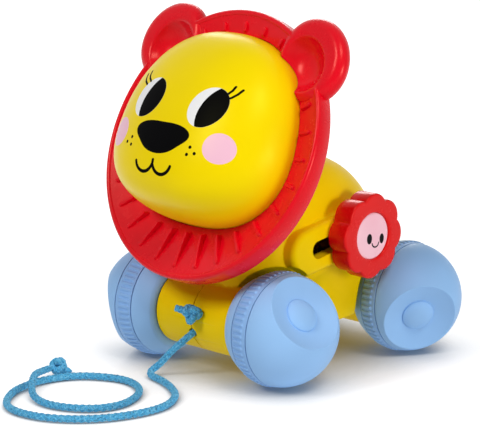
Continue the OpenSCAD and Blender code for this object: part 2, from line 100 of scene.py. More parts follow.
# Camera, at the photograph's view
def set_camera():
    eye, aim = mm(766.5, MID_Y - 807.35, 313.9), mm(-14.4, MID_Y - 17.3, 74.5)
    lens = bpy.data.cameras.new("camera")
    lens.lens, lens.sensor_width, lens.clip_start, lens.clip_end = 165, 36, 0.05, 30
    camera = bpy.data.objects.new("camera", lens)
    bpy.context.scene.collection.objects.link(camera)
    camera.location = eye
    camera.rotation_euler = (aim - eye).to_track_quat("-Z", "Y").to_euler()
    bpy.context.scene.camera = camera


# Node helpers
class Tree:
    """A material's nodes, with short ways to add the ones that are used often."""

    def __init__(self, name):
        self.material = bpy.data.materials.new(name)
        self.material.use_nodes = True
        self.nodes, self.links = self.material.node_tree.nodes, self.material.node_tree.links
        self.shader = self.nodes["Principled BSDF"]
        self.coords = self.add("ShaderNodeTexCoord").outputs["Object"]

    def add(self, kind, **settings):
        node = self.nodes.new(kind)
        for key, value in settings.items():
            setattr(node, key, value)
        return node

    def join(self, source, target):
        self.links.new(source, target)

    def math(self, operation, a, b=0.0, c=0.0):
        node = self.add("ShaderNodeMath", operation=operation)
        for socket, value in zip(node.inputs, (a, b, c)):
            if isinstance(value, (int, float)):
                socket.default_value = value
            else:
                self.join(value, socket)
        return node.outputs[0]

    def ramp(self, value, low, high, start=0.0, end=1.0):
        node = self.add("ShaderNodeMapRange", interpolation_type="SMOOTHSTEP")
        self.join(value, node.inputs["Value"])
        ends = {"From Min": low, "From Max": high, "To Min": start, "To Max": end}
        for key, number in ends.items():
            node.inputs[key].default_value = number
        return node.outputs["Result"]

    def place(self, vector, at=(0, 0, 0), turn=(0, 0, 0), size=(1, 1, 1)):
        node = self.add("ShaderNodeMapping", vector_type="TEXTURE")
        self.join(vector, node.inputs["Vector"])
        node.inputs["Location"].default_value = at
        node.inputs["Rotation"].default_value = turn
        node.inputs["Scale"].default_value = size
        return node.outputs["Vector"]

    def length(self, vector):
        node = self.add("ShaderNodeVectorMath", operation="LENGTH")
        self.join(vector, node.inputs[0])
        return node.outputs["Value"]

    def flat(self, vector):
        node = self.add("ShaderNodeVectorMath", operation="MULTIPLY")
        self.join(vector, node.inputs[0])
        node.inputs[1].default_value = (1, 1, 0)
        return node.outputs["Vector"]

    def noise(self, scale, detail=3.0, rough=0.5, vector=None):
        node = self.add("ShaderNodeTexNoise")
        node.inputs["Scale"].default_value = scale
        node.inputs["Detail"].default_value = detail
        node.inputs["Roughness"].default_value = rough
        self.join(vector or self.coords, node.inputs["Vector"])
        return node.outputs["Fac"]

    def mix(self, amount, below, above):
        node = self.add("ShaderNodeMix", data_type="RGBA")
        for number, value in ((0, amount), (6, below), (7, above)):
            socket = node.inputs[number]
            if isinstance(value, (float, int)):
                socket.default_value = value
            elif isinstance(value, tuple):
                socket.default_value = (*value, 1)
            else:
                self.join(value, socket)
        return node.outputs[2]

    def bump(self, height, strength, distance):
        node = self.add("ShaderNodeBump")
        node.inputs["Strength"].default_value = strength
        node.inputs["Distance"].default_value = distance
        self.join(height, node.inputs["Height"])
        self.join(node.outputs["Normal"], self.shader.inputs["Normal"])

    # Flat marks of a print, in millimetres on a flat sheet
    def oval(self, sheet, at, half, turn=0.0):
        local = self.place(sheet, (*at, 0), (0, 0, math.radians(turn)), (*half, 1))
        edge = PRINT_EDGE / min(half)
        return self.ramp(self.length(self.flat(local)), 1 + edge, 1 - edge)

    def stroke(self, sheet, start, end, half):
        dx, dy = end[0] - start[0], end[1] - start[1]
        middle = ((start[0] + end[0]) / 2, (start[1] + end[1]) / 2, 0)
        local = self.place(sheet, middle, (0, 0, math.atan2(dy, dx)))
        split = self.add("ShaderNodeSeparateXYZ")
        self.join(local, split.inputs[0])
        along = self.math("ABSOLUTE", split.outputs[0])
        over = self.math("MAXIMUM", self.math("SUBTRACT", along, math.hypot(dx, dy) / 2), 0.0)
        aside = self.math("MULTIPLY", split.outputs[1], split.outputs[1])
        away = self.math("SQRT", self.math("ADD", self.math("MULTIPLY", over, over), aside))
        return self.ramp(away, half + PRINT_EDGE, half - PRINT_EDGE)

    def arc(self, sheet, at, radius, half, top):
        """The part of a ring below a level."""
        local = self.place(sheet, (*at, 0))
        split = self.add("ShaderNodeSeparateXYZ")
        self.join(local, split.inputs[0])
        off = self.math("ABSOLUTE", self.math("SUBTRACT", self.length(self.flat(local)), radius))
        return self.math("MULTIPLY", self.ramp(off, half + PRINT_EDGE, half - PRINT_EDGE),
                         self.ramp(split.outputs[1], top + PRINT_EDGE, top - PRINT_EDGE))

    def bent(self, sheet, points, half):
        """A stroke along a bent line."""
        return self.either([self.stroke(sheet, a, b, half) for a, b in zip(points, points[1:])])

    def soft_triangle(self, sheet, at, half):
        """A rounded triangle that points down."""
        local = self.place(sheet, (*at, 0), size=(*half, 1))
        split = self.add("ShaderNodeSeparateXYZ")
        self.join(local, split.inputs[0])
        angle = self.math("ARCTAN2", split.outputs[1], split.outputs[0])
        lobe = self.math("COSINE", self.math("MULTIPLY_ADD", angle, 3.0, 1.5 * math.pi))
        outline = self.math("MULTIPLY_ADD", lobe, 0.11, 1.0)
        off = self.math("SUBTRACT", self.length(self.flat(local)), outline)
        edge = PRINT_EDGE / min(half)
        return self.ramp(off, edge, -edge)

    def either(self, marks):
        total = marks[0]
        for mark in marks[1:]:
            total = self.math("MAXIMUM", total, mark)
        return total


# Materials
def moulded_plastic(name, colour, rough, shade=0.07, gloss=0.2, shine=None, grain=0.02):
    """Plastic with a slow drift of tone, fine handling marks and a faint flow texture."""
    tree = Tree(name)
    drift = tree.ramp(tree.noise(28, 2), 0.3, 0.7)
    dark = tuple(c * (1 - shade) for c in colour)
    tree.join(tree.mix(drift, dark, colour), tree.shader.inputs["Base Color"])
    marks = tree.ramp(tree.noise(160, 5, 0.65), 0.3, 0.75, rough - 0.04, rough + 0.07)
    tree.join(marks, tree.shader.inputs["Roughness"])
    tree.shader.inputs["Specular IOR Level"].default_value = gloss
    tree.shader.inputs["Specular Tint"].default_value = (*(shine or colour), 1)
    tree.bump(tree.noise(900, 3, 0.6), grain, 0.0002)
    return tree.material


def turned_steel(name):
    tree = Tree(name)
    tree.shader.inputs["Metallic"].default_value = 1.0
    streak = tree.noise(1, 4, 0.6, tree.place(tree.coords, size=(0.03, 0.0006, 0.0006)))
    tree.join(tree.mix(tree.ramp(streak, 0.3, 0.7), (0.50, 0.50, 0.52), (0.68, 0.68, 0.70)),
              tree.shader.inputs["Base Color"])
    tree.join(tree.ramp(streak, 0.2, 0.8, 0.25, 0.42), tree.shader.inputs["Roughness"])
    return tree.material


def braided_yarn(name):
    """Blue yarn with a fine fibre tone, lighter patches painted on as highlights and dark flecks
    painted on as shade between the yarns.
    """
    tree = Tree(name)
    fibre = tree.noise(2600, 4, 0.7)
    tone = tree.mix(tree.ramp(fibre, 0.3, 0.72), (0.02, 0.24, 0.50), (0.12, 0.58, 0.90))
    # Painted highlights: lighter patches laid at random over the yarn's tone
    light = tree.ramp(tree.noise(700, 2, 0.5), 0.50, 0.64)
    tone = tree.mix(tree.math("MULTIPLY", light, 0.35), tone, (0.30, 0.76, 0.97))
    # Painted shade: dark flecks at random, standing in for the shadowed gaps between the yarns
    dark = tree.ramp(tree.noise(950, 2, 0.5, tree.place(tree.coords, at=(0.5, 0, 0))), 0.57, 0.66)
    tree.join(tree.mix(tree.math("MULTIPLY", dark, 0.55), tone, (0.004, 0.05, 0.13)),
              tree.shader.inputs["Base Color"])
    tree.shader.inputs["Roughness"].default_value = 0.8
    tree.shader.inputs["Sheen Weight"].default_value = 0.12
    tree.bump(fibre, 0.5, 0.0003)
    return tree.material


# Eyelashes, as bent lines on the face's sheet
LASHES = (((27.2, 20.2), (29.0, 21.6), (30.2, 23.6), (30.6, 25.8)),
          ((28.6, 18.2), (31.4, 20.0), (33.4, 22.6), (34.4, 25.0)),
          ((-25.4, 19.8), (-28.6, 21.6), (-30.2, 23.6), (-30.8, 25.6)),
          ((-23.2, 21.6), (-26.0, 23.4), (-27.4, 25.2), (-27.8, 27.2)))


def printed_face(name, yellow):
    """Yellow plastic with the lion's face printed on it, on the head's own across and up."""
    tree = Tree(name)
    lean = (math.radians(90 - HEAD_TILT), 0, 0)
    sheet = tree.place(tree.coords, mm(0, HEAD_Y, HEAD_Z), lean, PER_MM)
    drift = tree.ramp(tree.noise(22, 2), 0.3, 0.7)
    colour = tree.mix(drift, tuple(c * 0.95 for c in yellow), yellow)
    cheeks = tree.either([tree.oval(sheet, (side * 34.3, -5.6), (7.7, 7.5)) for side in (-1, 1)])
    colour = tree.mix(cheeks, colour, (0.96, 0.56, 0.70))
    eyes, ink = [], []
    for at in ((21.9, 12.9), (-17.7, 13.4)):
        eye = tree.oval(sheet, at, (11.2, 9.6), 55)
        eyes.append(eye)
        pupil = tree.oval(sheet, (at[0] + 5.4, at[1] - 1.0), (14.0, 9.0), 72)
        ink.append(tree.math("MULTIPLY", eye, pupil))
    colour = tree.mix(tree.either(eyes), colour, (0.93, 0.93, 0.95))
    for lash in LASHES:
        ink.append(tree.bent(sheet, lash, 0.62))
    ink.append(tree.soft_triangle(sheet, (0, -5.2), (17.4, 8.0)))
    for side in (-1, 1):
        for at in ((20.4, -8.0), (19.6, -11.8), (23.6, -10.6)):
            ink.append(tree.oval(sheet, (side * at[0], at[1]), (0.85, 0.85)))
        ink.append(tree.arc(sheet, (side * 6.0 - 0.4, -17.6), 6.1, 0.85, -1.6))
        ink.append(tree.oval(sheet, (side * 11.9 - 0.4, -19.2), (0.85, 0.85)))
    ink.append(tree.stroke(sheet, (-0.4, -17.4), (-0.4, -19.4), 0.85))
    ink = tree.either(ink)
    colour = tree.mix(ink, colour, INK)
    tree.join(tree.math("MULTIPLY_ADD", ink, -0.23, 0.24), tree.shader.inputs["Specular IOR Level"])
    tree.shader.inputs["Specular Tint"].default_value = (1.0, 0.92, 0.12, 1)
    tree.join(colour, tree.shader.inputs["Base Color"])
    marks = tree.ramp(tree.noise(160, 5, 0.65), 0.3, 0.75, 0.30, 0.38)
    tree.join(marks, tree.shader.inputs["Roughness"])
    tree.bump(tree.noise(900, 3, 0.6), 0.02, 0.0002)
    return tree.material


def printed_smile(name):
    """Pink plastic with a small smile printed on it, on the flank's own along and up."""
    tree = Tree(name)
    flank = (math.radians(90), 0, math.radians(90))
    sheet = tree.place(tree.coords, mm(0, FLOWER_Y, FLOWER_Z), flank, PER_MM)
    drift = tree.ramp(tree.noise(40, 2), 0.3, 0.7)
    colour = tree.mix(drift, (0.96, 0.53, 0.62), (1.0, 0.62, 0.70))
    ink = [tree.oval(sheet, (-2.5, -1.2), (1.9, 2.7)), tree.oval(sheet, (6.9, -2.3), (1.7, 2.6)),
           tree.arc(sheet, (2.1, -3.4), 2.6, 0.4, -0.2)]
    tree.join(tree.mix(tree.either(ink), colour, INK), tree.shader.inputs["Base Color"])
    tree.shader.inputs["Roughness"].default_value = 0.35
    tree.shader.inputs["Specular IOR Level"].default_value = 0.05
    tree.bump(tree.noise(900, 3, 0.6), 0.02, 0.0002)
    return tree.material


RED_SHINE = (1.0, 0.42, 0.32)
YELLOW = moulded_plastic("yellow_body_plastic", (0.97, 0.67, 0.001), 0.34, shade=0.05, gloss=0.12,
                         shine=(1.0, 0.88, 0.1))
RED = moulded_plastic("red_mane_plastic", (0.84, 0.001, 0.014), 0.24, shade=0.08, gloss=0.34,
                      shine=RED_SHINE, grain=0.005)
FLOWER_RED = moulded_plastic("red_flower_plastic", (0.82, 0.006, 0.008), 0.24, shade=0.08,
                             gloss=0.30, shine=RED_SHINE, grain=0.005)
BLUE = moulded_plastic("blue_wheel_plastic", (0.335, 0.585, 0.94), 0.40, shade=0.05, gloss=0.10)
TREAD_BLUE = moulded_plastic("blue_tread_plastic", (0.30, 0.53, 0.90), 0.42, shade=0.06, gloss=0.10)
WHITE = moulded_plastic("white_disc_plastic", (0.85, 0.85, 0.83), 0.45, shade=0.05)
STEEL = turned_steel("steel_rod")
YARN = braided_yarn("blue_braid")
FACE_PRINT = printed_face("printed_lion_face", (1.0, 0.75, 0.001))
SMILE_PRINT = printed_smile("printed_flower_smile")


# Mesh helpers
def finish_piece(name, bm, place, body, material, node, angle=38):
    """Puts a mesh in its place and lets it ride its body in place of its CAD node."""
    bmesh.ops.transform(bm, matrix=place, verts=bm.verts[:])
    bmesh.ops.recalc_face_normals(bm, faces=bm.faces[:])
    mesh = bpy.data.meshes.new(name)
    bm.to_mesh(mesh)
    bm.free()
    show(name, mesh, body, material, node, angle)


def show(name, mesh, body, material, node, angle):
    piece = bpy.data.objects.new(name, mesh)
    bpy.context.scene.collection.objects.link(piece)
    mesh.polygons.foreach_set("use_smooth", [True] * len(mesh.polygons))
    mesh.set_sharp_from_angle(angle=math.radians(angle))
    mesh.materials.clear()
    mesh.materials.append(material)
    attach(piece, body)
    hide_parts(node)
    return piece


def as_shown(thing):
    """A new mesh of a thing with its modifiers or its curve's thickness."""
    bpy.context.view_layer.update()
    shown = thing.evaluated_get(bpy.context.evaluated_depsgraph_get())
    return bpy.data.meshes.new_from_object(shown)


def loose_mesh(name, bm):
    mesh = bpy.data.meshes.new(name)
    bm.to_mesh(mesh)
    bm.free()
    thing = bpy.data.objects.new(name, mesh)
    bpy.context.scene.collection.objects.link(thing)
    return thing


def carve(base, tool, way):
    """Joins a loose mesh to another or cuts it out, and gives the result as a new loose mesh."""
    cut = base.modifiers.new("carve", "BOOLEAN")
    cut.operation, cut.object, cut.solver = way, tool, "EXACT"
    done = bpy.data.objects.new(base.name, as_shown(base))
    bpy.context.scene.collection.objects.link(done)
    bpy.data.objects.remove(tool)
    bpy.data.objects.remove(base)
    return done


def take_mesh(thing):
    """A loose mesh's content, without the loose mesh."""
    bm = bmesh.new()
    bm.from_mesh(thing.data)
    bpy.data.objects.remove(thing)
    return bm


def node_mesh(node):
    bm = bmesh.new()
    bm.from_mesh(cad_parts[node].data)
    bmesh.ops.remove_doubles(bm, verts=bm.verts[:], dist=2e-6)
    return bm


def spin_line(bm, points, steps):
    """A line of (radius, height) points turned round the Z axis."""
    verts = [bm.verts.new((r, 0, z)) for r, z in points]
    edges = [bm.edges.new(pair) for pair in zip(verts, verts[1:])]
    bmesh.ops.spin(bm, geom=verts + edges, cent=(0, 0, 0), axis=(0, 0, 1), angle=math.tau, steps=steps,
                   use_merge=True)
    bmesh.ops.remove_doubles(bm, verts=bm.verts[:], dist=1e-4)


def pull(bm, edges):
    """A strip of faces pulled out of open edges. Gives the strip's new open edges."""
    made = bmesh.ops.extrude_edge_only(bm, edges=edges)["geom"]
    return [e for e in made if isinstance(e, bmesh.types.BMEdge) and len(e.link_faces) == 1]


def loft(bm, sides, rings):
    """A circle pulled through rings. Each ring is a function from a turn (0 to 1) to a point."""
    turn = bm.verts.layers.float.new("turn")
    circle = bmesh.ops.create_circle(bm, segments=sides, radius=1)["verts"]
    for vert in circle:
        vert[turn] = (math.atan2(vert.co.x, vert.co.y) / math.tau) % 1
    edges = bm.edges[:]
    for vert in circle:
        vert.co = rings[0](vert[turn])
    for ring in rings[1:]:
        edges = pull(bm, edges)
        for vert in {v for e in edges for v in e.verts}:
            vert.co = ring(vert[turn])
    return edges


def open_edges(bm):
    return [e for e in bm.edges if len(e.link_faces) == 1]


def close_ring(bm, edges):
    """A flat face in a ring of edges."""
    bmesh.ops.contextual_create(bm, geom=edges)


# The cord, first of the pieces, with the part's own route
CORD_ROUTE = [(1, -69.2, 33.6), (0, -64.8, 32.6), (0, -59.5, 31), (0, -56.5, 28), (0, -59.8, 24.8),
              (0, -64.3, 23), (-2, -70, 19), (-7, -74, 13), (-12, -77, 6.5), (-15, -80, 2.8),
              (-11, -83.8, 2), (1, -87, 2), (13, -92.5, 2), (24, -101, 2), (31, -114, 2),
              (31.5, -129, 2), (26, -146, 2), (17, -158, 2), (5, -166.5, 2), (-9, -170, 2),
              (-21, -168, 2), (-31, -160.5, 2), (-39.5, -148, 2), (-43, -133, 2), (-41.5, -120, 2),
              (-36, -110, 2), (-28, -103.5, 2), (-17, -99, 2), (-6, -100, 2), (4, -106, 2),
              (11, -115.5, 2), (14.5, -128, 2), (11, -140, 2), (1, -148.5, 2), (-12, -152, 2),
              (-24, -149.5, 2.6), (-34, -142.5, 4.5), (-42.5, -133.5, 5.9), (-48.5, -123, 4.8),
              (-51, -110.5, 4.4)]


def smooth_route(points, steps):
    """A smooth line through points, with a number of steps between each two."""
    p = [Vector(q) for q in points]
    line = []
    for i in range(len(p) - 1):
        a, b, c, d = p[max(i - 1, 0)], p[i], p[i + 1], p[min(i + 2, len(p) - 1)]
        for k in range(steps):
            t = k / steps
            line.append(0.5 * (2 * b + (c - a) * t + (2 * a - 5 * b + 4 * c - d) * t * t
                               + (3 * b - a - 3 * c + d) * t ** 3))
    return line + [p[-1]]


def even_cut(line, step):
    """The line's points again, a fixed step apart."""
    run = [0.0]
    for a, b in zip(line, line[1:]):
        run.append(run[-1] + (b - a).length)
    count = max(2, round(run[-1] / step))
    out = []
    for k in range(count + 1):
        s = run[-1] * k / count
        i = min(max(bisect.bisect_right(run, s) - 1, 0), len(line) - 2)
        t = (s - run[i]) / max(run[i + 1] - run[i], 1e-9)
        out.append(line[i].lerp(line[i + 1], t))
    return out, run[-1]


def braid(name, line, pitch, node):
    """Eight yarns laid over and under each other round a core, along a line in millimetres."""
    points, total = even_cut(line, pitch / 18)
    curve = bpy.data.curves.new(name, "CURVE")
    curve.dimensions = "3D"
    curve.bevel_depth, curve.bevel_resolution = 0.001 * CORD_R * YARN_R, 2
    curve.use_fill_caps = True
    side = (points[1] - points[0]).orthogonal().normalized()
    frames = []
    for i, point in enumerate(points):
        along = (points[min(i + 1, len(points) - 1)] - points[max(i - 1, 0)]).normalized()
        side = (side - along * side.dot(along)).normalized()
        frames.append((point, side, along.cross(side)))

    def lay(way, yarn):
        spline = curve.splines.new("POLY")
        spline.points.add(len(frames) - 1)
        for i, (point, u, v) in enumerate(frames):
            phase = math.tau * total * i / (len(frames) - 1) / pitch
            turn = way * phase + yarn * math.tau / 4
            out = CORD_R * (YARN_OUT + YARN_WEAVE * way * math.cos(4 * phase)) if way else 0
            around = math.cos(turn) * u + math.sin(turn) * v
            spline.points[i].co = (*(0.001 * (point + out * around)), 1)
            spline.points[i].radius = 1 if way else 1.1

    for yarn in range(4):
        lay(1, yarn)
        lay(-1, yarn)
    lay(0, 0)
    loose = bpy.data.objects.new(name + "_line", curve)
    bpy.context.scene.collection.objects.link(loose)
    mesh = as_shown(loose)
    mesh.name = name
    bpy.data.objects.remove(loose)
    return show(name, mesh, "body", YARN, node, 60), total


def overhand(at, size, turn, tails):
    """A tight overhand knot's line about a point, with short straight tails."""
    loop = []
    for k in range(49):
        t = math.tau * (k / 48 * 0.94 + 0.03)
        loop.append(Vector((math.sin(t) + 2 * math.sin(2 * t), math.cos(t) - 2 * math.cos(2 * t),
                            -1.15 * math.sin(3 * t))))
    spin = turn_about(turn[2], "Z", 3) @ turn_about(turn[1], "Y", 3) @ turn_about(turn[0], "X", 3)
    line = [Vector(at) + size * (spin @ p) for p in loop]
    return line + [Vector(p) for p in tails]


def ball_knot(at, size, turns, lean, tails):
    """A line wound over a small ball, for a tight round stopper knot."""
    spin = turn_about(lean[1], "Z", 3) @ turn_about(lean[0], "X", 3)
    line = []
    for k in range(41):
        rise = math.pi * (0.12 + 0.76 * k / 40)
        turn = math.tau * turns * k / 40
        across = math.sin(rise)
        way = Vector((across * math.cos(turn), across * math.sin(turn), math.cos(rise)))
        line.append(Vector(at) + size * (spin @ way))
    return line + [Vector(p) for p in tails]


def make_cord():
    shift = Vector((0, MID_Y, 0))
    line = [p + shift for p in smooth_route(CORD_ROUTE, 12)]
    cord, total = braid("pull_cord_braid", line, CORD_PITCH, "pull_cord")
    chest = overhand((4, MID_Y - 70.0, 34), 1.3, (75, 10, 20),
                     [(0.0, MID_Y - 72.2, 35.4), (-3.4, MID_Y - 74, 36.4)])
    chest_knot, _ = braid("chest_knot_braid", smooth_route(chest, 3), KNOT_PITCH, "chest_knot")
    x, y, _ = CORD_ROUTE[-1]
    end = ball_knot((x + 2, y + MID_Y - 2, 4.95), 3.0, 2.6, (55, 20),
                    [(x + 5, y + MID_Y - 0.5, 3.4), (x + 8, y + MID_Y + 0.6, 2.2)])
    end_knot, _ = braid("end_knot_braid", smooth_route(end, 3), KNOT_PITCH, "end_knot")
    path = [0.001 * p for p in even_cut(line, 1.5)[0]]
    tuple(path[0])


# The head
def plan(c):
    return math.copysign(abs(c) ** (2 / FACE_CORNER), c)


def face_point(turn, rise, inwards=0.0):
    """A point of the face's dome at a turn round it and a height from 0 to 1."""
    rim = max(0.0, 1 - rise ** FACE_BULGE) ** (1 / FACE_BULGE)
    c, s = plan(math.cos(math.tau * turn)), plan(math.sin(math.tau * turn))
    return Vector(((FACE_HALF - inwards) * rim * s * (1 - FACE_PEAR * c),
                   FACE_UP - MUZZLE_DROP * rise ** 3 + (FACE_TALL - inwards) * rim * c,
                   -FACE_LEVEL + (FACE_OUT + FACE_LEVEL) * rise))


def make_face():
    bm = bmesh.new()
    foot = [lambda t, w=w: Vector((*face_point(t, 0).xy, w)) for w in (-12.4, -9.0, -7.5)]
    steps = [math.sin(math.radians(a)) ** (2 / FACE_BULGE)
             for a in (0, 0.6, 2, 4, 7, 10, 14, 18, 22, 27, 32, 37, 42, 47, 52, 57, 62, 67, 71, 75, 79,
                       82, 84.5, 86.5, 88, 89.2)]
    edges = loft(bm, 144, foot + [lambda t, r=r: face_point(t, r) for r in steps])
    last = list({v for e in edges for v in e.verts})
    bmesh.ops.pointmerge(bm, verts=last, merge_co=face_point(0, 1))
    close_ring(bm, open_edges(bm))
    finish_piece("lion_face", bm, head_place(), "body", FACE_PRINT, "face_shell")


def trough(r):
    """Height of the mane's hollow, which slopes down towards the face."""
    return -1 - 8 * (CREST_R - r) / (CREST_R - 38)


def face_reach(gap):
    """How far the face's outline is from the mane's middle, for any direction."""
    marks = sorted((math.atan2(p.x, p.y) % math.tau, p.xy.length)
                   for p in (face_point(k / 720, 0, -gap) for k in range(720)))

    def reach(angle):
        i = bisect.bisect_left(marks, (angle % math.tau, 0)) % len(marks)
        return marks[i][1]

    return reach


def sink(r, angle):
    """How far the mane's front lies behind its plane: most at the top."""
    return 1.2 + 1.5 * math.cos(angle) * r / MANE_R


def rib_height(r, off, inner):
    """Height of the mane's ribs: level wedges with a round outer end over the sloping hollow."""
    start = inner + min(3.2, 0.2 * (RIB_END - inner))
    half = 0.65 + 0.5 * min(1.0, max(0.0, (r - 42) / (RIB_END - 42)))
    far = math.hypot(off / half, max(0.0, r - RIB_END) / 1.5)
    if far >= 1 or r <= start:
        return 0.0
    edge = max(0.0, (far - 0.5) / 0.5)
    level = trough(RIB_END) + 1.3 - 0.13 * (RIB_END - r) - trough(r)
    return level * min(1.0, (r - start) / 0.9) * (1 - edge ** 2.5)


def gather(turn, r):
    """A direction with the columns drawn to each rib, and the way from the rib's middle."""
    whole, part = divmod(turn * MANE_RIBS + 0.5, 1)
    part, beside = 2 * part - 1, 1.25 / r
    off = beside * abs(part) / 0.75
    if abs(part) > 0.75:
        off = beside + (math.pi / MANE_RIBS - beside) * (abs(part) - 0.75) / 0.25
    return math.tau * whole / MANE_RIBS + math.copysign(off, part), off * r


def make_mane():
    bm = bmesh.new()
    reach = face_reach(0.35)
    crest = [(CREST_R, -0.75), (MANE_R - 2.4, -0.3), (MANE_R - 1.8, -0.03), (MANE_R - 1.2, -0.03),
             (MANE_R - 0.65, -0.3), (MANE_R - 0.25, -0.8), (MANE_R, -1.6), (MANE_R + 0.1, -6),
             (MANE_R, -10.4), (MANE_R - 0.3, -11.1), (MANE_R - 0.9, -11.45), (MANE_R - 2, WALL_BACK),
             (SKIRT_R + 0.6, WALL_BACK), (SKIRT_R, -11.7), (SKIRT_R - 0.6, -12.4),
             (SKIRT_R - 1.0, -12.6), (SKIRT_R - 3.4, -12.6), (SKIRT_R - 3.4, -7.5)]

    def sloping(where):
        def ring(t):
            inner = reach(gather(t, 55)[0])
            r = where(inner)
            angle, away = gather(t, r)
            w = trough(r) + rib_height(r, away, inner) - sink(r, angle)
            return Vector((r * math.sin(angle), r * math.cos(angle), w))
        return ring

    def level(r, w):
        def ring(t):
            angle = gather(t, r)[0]
            return Vector((r * math.sin(angle), r * math.cos(angle), w - sink(r, angle) * (w > -3)))
        return ring

    def under(t):
        r = reach(gather(t, 55)[0])
        angle = gather(t, r)[0]
        return Vector((r * math.sin(angle), r * math.cos(angle), trough(r) - 1.8 - sink(r, angle)))

    rings = [sloping(lambda inner, g=g: inner + g)
             for g in (0, 0.8, 1.5, 1.9, 2.3, 2.7, 2.9, 3.2, 3.45, 3.7, 3.95, 4.15)]
    rings += [sloping(lambda inner, f=f: inner + 4.4 + (64.1 - inner - 4.4) * f)
              for f in (1 - (1 - k / 14) ** 1.6 for k in range(15))]
    rings += [sloping(lambda inner, r=r: r) for r in (64.6, 65.4, 66.4, CREST_R)]
    rings += [level(r, w) for r, w in crest] + [under]
    loft(bm, MANE_RIBS * 26, rings)
    bmesh.ops.bridge_loops(bm, edges=open_edges(bm))
    bmesh.ops.recalc_face_normals(bm, faces=bm.faces[:])
    ring = loose_mesh("mane_ring", bm)
    for side in (-1, 1):
        ring = carve(ring, ear_form(side), "UNION")
        ring = carve(ring, ear_bowl(side), "DIFFERENCE")
    ring = carve(ring, face_plug(), "DIFFERENCE")
    finish_piece("lion_mane", take_mesh(ring), head_place(), "body", RED, "mane", 32)


def seat_ear(bm, side, inwards):
    """Widens an ear along the mane's edge and puts it in its place."""
    bmesh.ops.scale(bm, vec=(EAR_LONG, EAR_WIDE, 1), verts=bm.verts[:])
    bmesh.ops.rotate(bm, cent=(0, 0, 0), matrix=turn_about(-45 * side, "Z", 3), verts=bm.verts[:])
    across, up = EAR_X + EAR_OUT - inwards, EAR_UP + EAR_RAISED - inwards
    bmesh.ops.translate(bm, vec=(side * across, up, 0), verts=bm.verts[:])
    bmesh.ops.recalc_face_normals(bm, faces=bm.faces[:])


def ear_form(side):
    bm = bmesh.new()
    rim = [(EAR_R - EAR_ROLL + EAR_ROLL * math.cos(math.radians(a)),
            EAR_MIDDLE + EAR_ROLL * math.sin(math.radians(a))) for a in range(-90, 91, 12)]
    spin_line(bm, [(0, EAR_MIDDLE - EAR_ROLL)] + rim + [(0, EAR_MIDDLE + EAR_ROLL)], 96)
    seat_ear(bm, side, 0.0)
    return loose_mesh("ear", bm)


def ear_bowl(side):
    """The hollow of an ear: a bowl whose lip rolls over into the ear's broad rim."""
    bm = bmesh.new()
    floor = [(HOLLOW_R * k / 16, HOLLOW_RISE * (k / 16) ** 3.0 + HOLLOW_FLOOR) for k in range(17)]
    lip = [(13.5, -3.05), (13.95, -2.75), (14.5, -2.5), (15.2, -2.36), (15.9, -2.3)]
    spin_line(bm, floor + lip + [(15.9, 14), (0, 14)], 96)
    seat_ear(bm, side, HOLLOW_SHIFT)
    return loose_mesh("bowl", bm)


def face_plug():
    """The room that the face takes up in the mane."""
    bm = bmesh.new()
    ends = (-16, 12)
    loft(bm, 144, [lambda t, w=w: Vector((*face_point(t, 0, -0.3).xy, w)) for w in ends])
    for w in ends:
        close_ring(bm, [e for e in open_edges(bm) if abs(e.verts[0].co.z - w) < 0.1])
    bmesh.ops.recalc_face_normals(bm, faces=bm.faces[:])
    return loose_mesh("plug", bm)


# The wheels
def ball_line(low, high, count):
    """Points of the ball's outline between two heights."""
    a, b = math.asin(low / BALL_R), math.asin(high / BALL_R)
    return [(BALL_R * math.cos(a + (b - a) * k / count), BALL_R * math.sin(a + (b - a) * k / count))
            for k in range(count + 1)]


def make_wheel_inner(name, side, y, body):
    bm = bmesh.new()
    back = -BALL_BACK
    profile = [(2.5, -14), (2.5, back), (5.6, back), (6, back + 0.4), (6.3, back + 0.8),
               (17.5, back + 0.8), (18.2, back + 0.4), (19.0, back), (20.3, back + 0.05),
               (21.4, back + 0.45)]
    profile += ball_line(-17.2, TREAD_IN - 0.32, 24)
    last = profile[-1][0]
    spin_line(bm, profile + [(last - 0.03, TREAD_IN - SEAM), (last - 4, TREAD_IN - SEAM)], 120)
    finish_piece(name + "_ball", bm, wheel_place(side, y, 0), body, BLUE, name)


def tread_height(z, part):
    """Radius of the tread at a height along the axle and a part (0 to 1) of one pad's step."""
    ground = math.sqrt(BALL_R ** 2 - z * z) - 0.02
    across = max(0.0, abs(part - 0.5) / 0.32 - 0.62) / 0.38
    lengthwise = max(0.0, PAD_LOW + PAD_ROUND - z, z - PAD_HIGH + PAD_ROUND) / PAD_ROUND
    far = min(1.0, math.hypot(across, lengthwise))
    return ground + (1 - far * far * (3 - 2 * far)) * min(TREAD_R - ground, PAD_RISE)


def make_tread(name, side, y, body):
    bm = bmesh.new()
    low, high = TREAD_IN + SEAM, TREAD_OUT - SEAM
    levels = [low, low + 0.12, PAD_LOW, TREAD_IN + 0.95, TREAD_IN + 1.2, TREAD_IN + 1.5, -5.2, -3.6,
              -2.0, -0.8, TREAD_OUT - 3.0, TREAD_OUT - 2.7, TREAD_OUT - 2.45, PAD_HIGH, 1.2,
              high - 0.12, high]

    def at(r, t, w):
        return Vector((r * math.sin(math.tau * t), r * math.cos(math.tau * t), w))

    def band(w):
        inset = 0.05 if w in (low, high) else 0.0
        return lambda t: at(tread_height(w, (t * TREAD_RIBS) % 1) - inset, t, w)

    def bore(w):
        return lambda t: at(TREAD_BORE, t, w)

    loft(bm, TREAD_RIBS * 12, [bore(low)] + [band(w) for w in levels] + [bore(high)])
    bmesh.ops.bridge_loops(bm, edges=open_edges(bm))
    place = wheel_place(side, y, 0)
    finish_piece(name + "_band", bm, place, body, TREAD_BLUE, name, 50)


